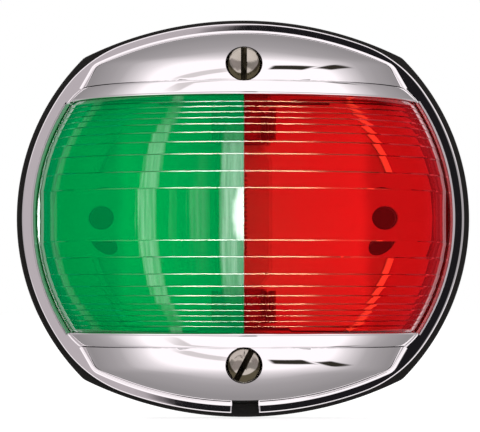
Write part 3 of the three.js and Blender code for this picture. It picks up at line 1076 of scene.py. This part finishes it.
def border_half_width(y):
    if y <= SIDE_END.y:
        return DOME_SIDE - (y - CREASE) * SIDE_OUT.y / SIDE_OUT.x
    if y <= CORNER.y + DOME_CORNER * sin(CORNER_TURN):
        return CORNER.x + sqrt(DOME_CORNER**2 - (y - CORNER.y) ** 2)
    return sqrt(RAISED_ARCH**2 - (y + ARCH_DROP) ** 2)


def dome_depth(x, y, inset):
    """Depth of the dome over a point, inset from its outer surface."""
    begin = 0.09  # the dome already slopes a little where it leaves the crease
    share = (y - CREASE) / (HOOD_TOP - CREASE - inset)
    u = min(1.0, begin + (1 - begin) * share)
    bulge = (LIP_BULGE - LIP_FALL - CREASE_STEP - HOOD_FILLET - inset) * sqrt((1 - u**2) / (1 - begin**2))
    half_width = max(border_half_width(min(y + inset * share, HOOD_TOP - 0.001)) - inset, 0.01)
    return RIM_FRONT + HOOD_FILLET + bulge * sqrt(max(0.0, 1 - (x / half_width) ** 2))


CREASE_CORNER_OUT = Vector((1, 1)).normalized()
STRAIGHT_DOWN = Vector((0, 0))
LIP_EDGE_TOP = WINDOW_HALF_HEIGHT + LIP_EDGE
LIP_FOOT = 0.4  # how far the fillet reaches out beside the lip, as a share of its reach beside the dome


def run_down(corner, out, fillet):
    """The end of a row of the hood, from a corner of its outline down to the rim."""
    x, y = Vector(corner[:2])
    return [(x + out.x * reach, y + out.y * reach, RIM_FRONT + rise) for reach, rise in fillet]


def with_both_ends(row, right):
    return [(-x, y, d) for x, y, d in reversed(right)] + row + right


def lip_levels():
    """Heights of the rows of the lip from the lens opening up, each with its inset."""
    levels = []
    for k in range(4, -1, -1):  # the rounded edge of the opening
        a = pi / 8 * k
        levels.append((WINDOW_HALF_HEIGHT + LIP_EDGE * (1 - sin(a)), LIP_EDGE * (1 - cos(a))))
    lip_end = CREASE - 0.3
    levels += [(LIP_EDGE_TOP + (lip_end - LIP_EDGE_TOP) * k / 6, 0) for k in range(1, 7)]
    return levels + [(CREASE - 0.22, 0.04), (CREASE - 0.04, CREASE_STEP * 0.9)]


def hood_grids(columns=112, dome_rows=40):
    """The outside and inside of the upper hood, as grids of the same size."""
    fillet = []
    for k in range(1, 9):
        a = pi / 16 * k
        fillet.append((HOOD_FILLET * (1 - cos(a)), HOOD_FILLET * (1 - sin(a))))
    fillet.append((HOOD_FILLET, -0.6))
    sines = [sin(pi / 2 * (2 * i / columns - 1)) for i in range(columns + 1)]
    outer, inner = [], []
    faces = ((outer, 0, CREASE_CORNER_OUT), (inner, COVER_WALL, STRAIGHT_DOWN))

    for y, inset in lip_levels():
        row = [lip_point(s, y, inset) for s in sines]
        out = Vector(row[-1][:2]).normalized() * LIP_FOOT
        outer.append(with_both_ends(row, run_down(row[-1], out, fillet)))
        row = [lip_point(s, y if y >= LIP_EDGE_TOP else WINDOW_HALF_HEIGHT, COVER_WALL) for s in sines]
        inner.append(with_both_ends(row, run_down(row[-1], STRAIGHT_DOWN, fillet)))

    starts, ends, outs = [], [], []
    for s in sines:
        point, out = border_at(abs(s))
        if abs(s) == 1:
            out = CREASE_CORNER_OUT
        flip = -1 if s < 0 else 1
        starts.append(Vector((DOME_SIDE * s, CREASE)))
        ends.append(Vector((flip * point.x, point.y)))
        outs.append(Vector((flip * out.x, out.y)))
    for k in range(dome_rows + 1):
        share = 1 - (1 - k / dome_rows) ** 2
        for grid, inset, way_down in faces:
            row = []
            for start, end, out in zip(starts, ends, outs):
                p = start + (end - start) * share
                p = p - out * inset * share
                p.x *= 1 - inset * (1 - share) / DOME_SIDE
                depth = dome_depth(p.x, p.y, inset) if k < dome_rows else RIM_FRONT + HOOD_FILLET
                row.append((p.x, p.y, depth))
            grid.append(with_both_ends(row, run_down(row[-1], way_down, fillet)))

    for m, (reach, rise) in enumerate(fillet):
        rest = [fillet[max(m, k)] for k in range(len(fillet))]
        for grid, inset, way_down in faces:
            feet = [end - out * inset if inset else end + out * reach for end, out in zip(ends, outs)]
            row = [(foot.x, foot.y, RIM_FRONT + rise) for foot in feet]
            corner = ends[-1] - CREASE_CORNER_OUT * inset
            grid.append(with_both_ends(row, run_down(corner, way_down, rest)))
    return outer, inner


def hood_seat(side):
    """The block inside a hood that carries the head of its screw."""
    y = side * SCREW_HEIGHT
    clear = LENS_HALF_HEIGHT + GAP
    ring = [(u, side * max(side * v, clear)) for u, v in circle(0, y, RECESS_RADIUS + 1.4, 64)]
    tops = [dome_depth(u, max(side * v, CREASE), 0) - COVER_WALL * 0.6 for u, v in ring]
    rows = [[(u, v, min(SCREW_SEAT - COVER_WALL, top - 0.5)) for (u, v), top in zip(ring, tops)]]
    rows.append([(u, v, top) for (u, v), top in zip(ring, tops)])
    shell = Shell()
    shell.grid(rows, wrap_columns=True)
    for row in rows:
        middle = (0, y, sum(d for _, _, d in row) / len(row))
        for a, b in zip(row, row[1:] + row[:1]):
            shell.face([a, b, middle])
    return build("seat", shell)


def hood(side):
    shell = Shell()
    shell.thick_grid(*([[(x, side * y, d) for x, y, d in row] for row in grid] for grid in hood_grids()))
    piece = combine(build("hood", shell), hood_seat(side))
    y = side * SCREW_HEIGHT
    beyond, behind = 45, 20  # in front of the hood and behind the seat
    cut(piece, slab("recess", [circle(0, y, RECESS_RADIUS, 96)], SCREW_SEAT, beyond, 0.25))
    drill(piece, (0, y), SHANK_RADIUS + 0.35, behind, beyond, 48)
    if side < 0:
        low, high = -HOOD_TOP - 2, -HOOD_TOP + 0.12
        notch = [(DRAIN[0], low), (DRAIN[1], low), (DRAIN[1], high), (DRAIN[0], high)]
        front = RIM_FRONT + HOOD_FILLET + 0.5
        cut(piece, slab("notch", [notch], COVER_BACK, front, 0.02))
    return piece


def footprint_radius(angle):
    """Distance from the centre to the foot of the raised part, in the direction of angle."""
    ux, uy = abs(cos(angle)), abs(sin(angle))
    lip_rise = CREASE - WINDOW_HALF_HEIGHT
    path = [lip_point(1, WINDOW_HALF_HEIGHT + lip_rise * k / 6, 0)[:2] for k in range(7)]
    path += BORDER
    here = atan2(uy, ux)
    for (ax, ay), (bx, by) in zip(path, path[1:]):
        start, end = atan2(ay, ax), atan2(by, bx)
        if start <= here <= end:
            t = (here - start) / max(end - start, 1e-9)
            return hypot(ax + (bx - ax) * t, ay + (by - ay) * t)
    return HOOD_TOP


def rim_section(angle):
    """The rim's closed section at one direction from the centre, as (radius, depth)."""
    open_side = atan2(abs(sin(angle)), abs(cos(angle))) <= WINDOW_ANGLE
    inner = OPENING_RADIUS if open_side else footprint_radius(angle) - 1.2
    outer = edge_radius(angle, COVER_SIDE_INSET, COVER_ARCH_INSET, COVER_CORNER)
    under = RIM_FRONT - COVER_WALL
    section = [(inner, under)]
    for k in range(9):
        a = pi / 16 * k
        rise = (BAND_DEPTH - BAND_RISE) * sin(a)
        section.append((inner + OPENING_ROLL * (1 - cos(a)), RIM_FRONT - BAND_DEPTH + rise))
    start = inner + OPENING_ROLL + BAND_WIDTH
    section.append((start, RIM_FRONT))
    flat_end = outer - EDGE_ROUNDING
    for reach in (6, 4.5, 3, 2, 1.3, 0.7, 0.3, 0):
        r = max(flat_end - reach, start + 0.01)
        section.append((r, RIM_FRONT - FLANGE_FALL * max(0.0, 1 - (flat_end - r) / 4) ** 2))
    front = RIM_FRONT - FLANGE_FALL
    for k in range(1, 7):
        a = pi / 12 * k
        section.append((flat_end + EDGE_ROUNDING * sin(a), front - EDGE_ROUNDING * (1 - cos(a))))
    lip, bevel = 1.5, 0.15  # the edge that reaches back to the base
    section += [(outer, COVER_BACK + bevel), (outer - bevel, COVER_BACK), (outer - lip + bevel, COVER_BACK)]
    section += [(outer - lip, COVER_BACK + bevel), (outer - lip, under)]
    return section


def rim():
    """The flat rim round the lens and hoods, with a gap at the bottom for the drain."""
    start = atan2(-(HOOD_TOP + 1), DRAIN[1])
    end = atan2(-(HOOD_TOP + 1), DRAIN[0]) + 2 * pi
    steps = 620
    close = [0.0007 * k for k in range(1, 14)]  # fine steps to round the two ends
    corners = []  # a pair of close rows at each corner of the lens opening
    for middle in (0, pi):
        for corner in (WINDOW_ANGLE, WINDOW_ANGLE + 1e-4):
            corners += [middle - corner, middle + corner]
    angles = [start + (end - start) * k / steps for k in range(steps + 1)] + corners
    angles += [start + a for a in close] + [end - a for a in close]
    angles = sorted(a + 2 * pi if a < start else a for a in angles)
    rings = []
    for angle in angles:
        short = max(0.0, END_ROUNDING - min(angle - start, end - angle) * HOOD_TOP)
        drop = END_ROUNDING - sqrt(END_ROUNDING**2 - short**2)
        section = [(r, d - drop if d > RIM_FRONT - 0.8 else d) for r, d in rim_section(angle)]
        rings.append([(r * cos(angle), r * sin(angle), d) for r, d in section])
    return loft("cover_look", rings)


def make_cover():
    cover = join(rim(), hood(1), hood(-1))
    finish_piece(cover, "chrome", "chrome_cover", sharp=45, weighted=False)


# ------ cover screws


def screw_washer(name, side):
    inner, back = SHANK_RADIUS + 0.3, SCREW_SEAT + 0.2
    profile = soften([(inner, back), (3, back), (3, back + 0.7), (inner, back + 0.7)], 0.2)
    return lathe(name, profile, (0, side * SCREW_HEIGHT))


def cover_screw(name, side, slot_degrees):
    back, tip, y = HEAD_BACK, BOSS_FRONT - 8.5, side * SCREW_HEIGHT
    profile = [(0, tip), (SHANK_RADIUS - 0.7, tip)]
    pitch = 0.794
    for k in range(18):  # the thread, as rings
        d = tip + 0.7 + k * pitch / 2
        profile.append((SHANK_RADIUS - (0.35 if k % 2 else 0), d))
    profile += [(SHANK_RADIUS, d + 0.5), (SHANK_RADIUS, back)]
    side_height, shoulder = 0.8, 0.75
    profile += [(HEAD_RADIUS, back), (HEAD_RADIUS, back + side_height)]
    for k in range(1, 9):
        a = pi / 18 * k
        reach = HEAD_RADIUS - shoulder * (1 - cos(a))
        profile.append((reach, back + side_height + shoulder * sin(a)))
    crown = back + side_height + shoulder
    profile += [(1.9, crown + 0.1), (1.3, crown + 0.25), (0.7, crown + 0.34), (0, crown + 0.37)]
    screw = lathe(name, profile, (0, y), steps=72, closed=False)
    turn = radians(slot_degrees)
    ux, uy = cos(turn), sin(turn)
    half_slot, reach = 0.55, 4.5
    corners = [(-reach, -half_slot), (reach, -half_slot), (reach, half_slot), (-reach, half_slot)]
    loop = [(u * ux - v * uy, y + u * uy + v * ux) for u, v in corners]
    return cut(screw, slab("slot", [loop], back + 0.6, back + 4, 0.05))


def make_screws():
    finish_pair(screw_washer, "nylon", "screw_washer")
    for end, side, degrees in (("top", 1, 90), ("bottom", -1, 62)):
        node = f"cover_screw_{end}"
        finish_piece(cover_screw(node + "_look", side, degrees), "steel", node)


# ------ studio


def lens_cards(g, heading, right, forward, up):
    """The cards and lamps set up for the lens, seen only in perfectly smooth surfaces."""
    degrees = 180 / pi
    azimuth = g.math("ARCTAN2", right, forward) * degrees
    folds = g.value("TexNoise", {"Vector": heading, "Scale": 38.0, "Detail": 4.0}, "Fac")
    ragged = azimuth + (folds - 0.5) * 7
    level = abs(g.math("ARCSINE", up) * degrees - 1.35)  # above or below the camera
    uneven = g.spread(folds, 0.5, 1.3, 0.35)
    reach = g.math("SQRT", (azimuth / 5.2) ** 2 + (level / 0.5) ** 2)
    seen = g.step(reach, 1.2, 0.7) * g.step(azimuth, 0.7, 0.1) * 20.0  # the glint beside the camera
    cards = (  # azimuth, softness, heights where it starts and is full, brightness
        (-54, -44, 1.5, (42, 12), 4.2),  # a tall softbox
        (-134, -124, 2, (40, 20), 0.35),
        (-25, -18, 2.5, (12, 3), 1.5),
        (-36, -33, 1, (12, 3), 0.4),
        (-11, 0.3, 1.2, (21, 7), 7.5),  # beside the camera
    )
    for start, end, soft, rise, brightness in cards:
        place = azimuth if end > 0 else ragged
        seen += g.within(place, start, end, soft) * g.step(level, *rise) * brightness * uneven
    seen += g.step(level, 40, 55) * (g.step(abs(right), 0.46, 0.27) * 20.0 + 1.2)  # lights the ridge lines
    warm = g.step(right, 0.0, 0.05)  # the red side is lit by a warmer lamp
    return g.value("CombineColor", {0: seen, 1: seen * (1.0 - warm * 0.3), 2: seen * (1.0 - warm * 0.6)})


def painted_room(g, right, forward, up):
    """What the chrome mirrors: a pale room, darker towards the camera, with a doorway behind the camera,
    a soft grey streak on the left and two dark bars on the right."""
    rise = abs(up)
    openness = (forward + rise * 0.93) * g.step(rise, 0.10, 0.28)
    stops = [(-0.6, 0.30), (-0.14, 0.38), (0.1, 0.46), (0.21, 0.57), (0.33, 0.68), (0.5, 0.88), (0.66, 1.15)]
    low, reach = 0.6, 1.4  # brings the places of the stops between 0 and 1
    stops = [((place + low) / reach, tone(v, v * 0.935, v * 0.965)) for place, v in stops]
    room = g.ramp((openness + low) / reach, stops)
    in_doorway = g.step(forward, 0.78, 0.88) * g.step(rise, 0.30, 0.20) * g.step(right, 0.17, 0.13)
    door_edge = g.step(right - up * 0.145, -0.030, -0.012)
    room = g.mix(in_doorway, room, g.mix(door_edge, tone(0.50, 0.45, 0.475), tone(0.011, 0.010, 0.012)))
    slant = right * 0.5 - rise * 0.235 + g.step(right, 0.45, 0.52) * 0.16
    bar = g.step(abs(slant + forward), 0.16, 0.09) * g.step(rise, 0.3, 0.4)
    dark_parts = g.within(right, 0.21, 0.47, 0.02) + g.within(right, 0.50, 0.60, 0.015)
    room = g.mix(bar * g.within(right, -0.66, -0.12, 0.1), room, tone(0.72, 0.67, 0.68))
    return g.mix(bar * dark_parts, room, tone(0.03, 0.026, 0.02))


def studio_world():
    """The camera sees white, mirrors see a painted room, the lens's gloss sees its own cards, and
    everything is lit by a soft sky."""
    world = bpy.data.worlds.new("studio")
    g = Graph(world)
    heading = g.value("TexCoord", output="Generated")
    right, back, up = g.parts(heading)
    forward = back * -1
    names = ("Ray Depth", "Is Singular Ray", "Is Transmission Ray", "Is Diffuse Ray", "Is Camera Ray")
    ray_depth, singular, transmission, diffuse, camera = g.rays(*names)
    in_lens = singular * g.math("LESS_THAN", ray_depth, 2.5)
    seen = g.mix(in_lens, painted_room(g, right, forward, up), lens_cards(g, heading, right, forward, up))
    seen = g.mix(transmission * g.step(forward, -0.7, -0.85), seen, grey(0.01))  # dark behind the light
    sky = g.mix(g.step(up, -0.6, 0.8), grey(0.75), grey(1.15))
    seen = g.mix(diffuse, seen, sky)
    seen = g.mix(camera, seen, grey(1.0))
    bpy.context.scene.world = g.finish(g.value("Background", {"Color": seen}), "OutputWorld")


def make_floor():
    g = material_graph("pale_floor")
    diffuse = g.value("BsdfDiffuse", {"Color": grey(0.8)})
    glow = g.value("Emission", {"Color": grey(1.0), "Strength": 1.4})
    size = 6.0
    level = cad_box[0].z - 0.2 * MM
    mesh = bpy.data.meshes.new("floor")
    mesh.from_pydata([(-size, -size, level), (size, -size, level), (size, size, level), (-size, size, level)],
                     [], [(0, 1, 2, 3)])
    mesh.materials.append(g.finish(g.blend(0.55, diffuse, glow)))
    floor = add_object("floor", mesh)
    floor.visible_glossy = False
    floor.visible_transmission = False


def make_light(name, place, size, watts):
    """A large soft lamp, aimed at the middle, that shows in no mirror."""
    light = bpy.data.lights.new(name, "AREA")
    light.shape = "SQUARE"
    light.size = size
    light.energy = watts
    lamp = add_object(name, light)
    lamp.location = place
    lamp.rotation_euler = (-lamp.location).to_track_quat("-Z", "Y").to_euler()
    lamp.visible_glossy = False
    lamp.visible_transmission = False
    lamp.visible_camera = False


def make_camera():
    """The photo's camera: almost straight on and a little below, with a long lens."""
    distance, azimuth, elevation = 0.690, radians(-0.3), radians(-1.35)
    focal_length, shift_right, shift_up = 3617 / 480, -2.9 / 480, 3.1 / 480  # in widths of the picture
    camera_data = bpy.data.cameras.new("camera")
    camera_data.sensor_width = 36.0
    camera_data.lens = focal_length * camera_data.sensor_width
    camera_data.shift_x = shift_right
    camera_data.shift_y = shift_up
    camera = add_object("camera", camera_data)
    level = cos(elevation)
    away = Vector((sin(azimuth) * level, -cos(azimuth) * level, sin(elevation)))
    camera.location = away * distance
    camera.rotation_mode = "QUATERNION"
    camera.rotation_quaternion = (-away).to_track_quat("-Z", "Y")
    bpy.context.scene.camera = camera


def make_studio():
    studio_world()
    make_floor()
    make_light("key", (-0.45, -0.55, 0.55), 0.45, 3.0)
    make_light("front", (0.2, -0.95, 0.1), 0.35, 5.0)
    make_camera()
    scene = bpy.context.scene
    scene.view_settings.view_transform = "Standard"
    scene.view_settings.look = "None"
    scene.cycles.use_denoising = True
    scene.cycles.max_bounces = 16
    scene.cycles.transmission_bounces = 12
    scene.cycles.transparent_max_bounces = 16


make_base()
make_lamp()
make_lens()
make_cover()
make_screws()
make_studio()
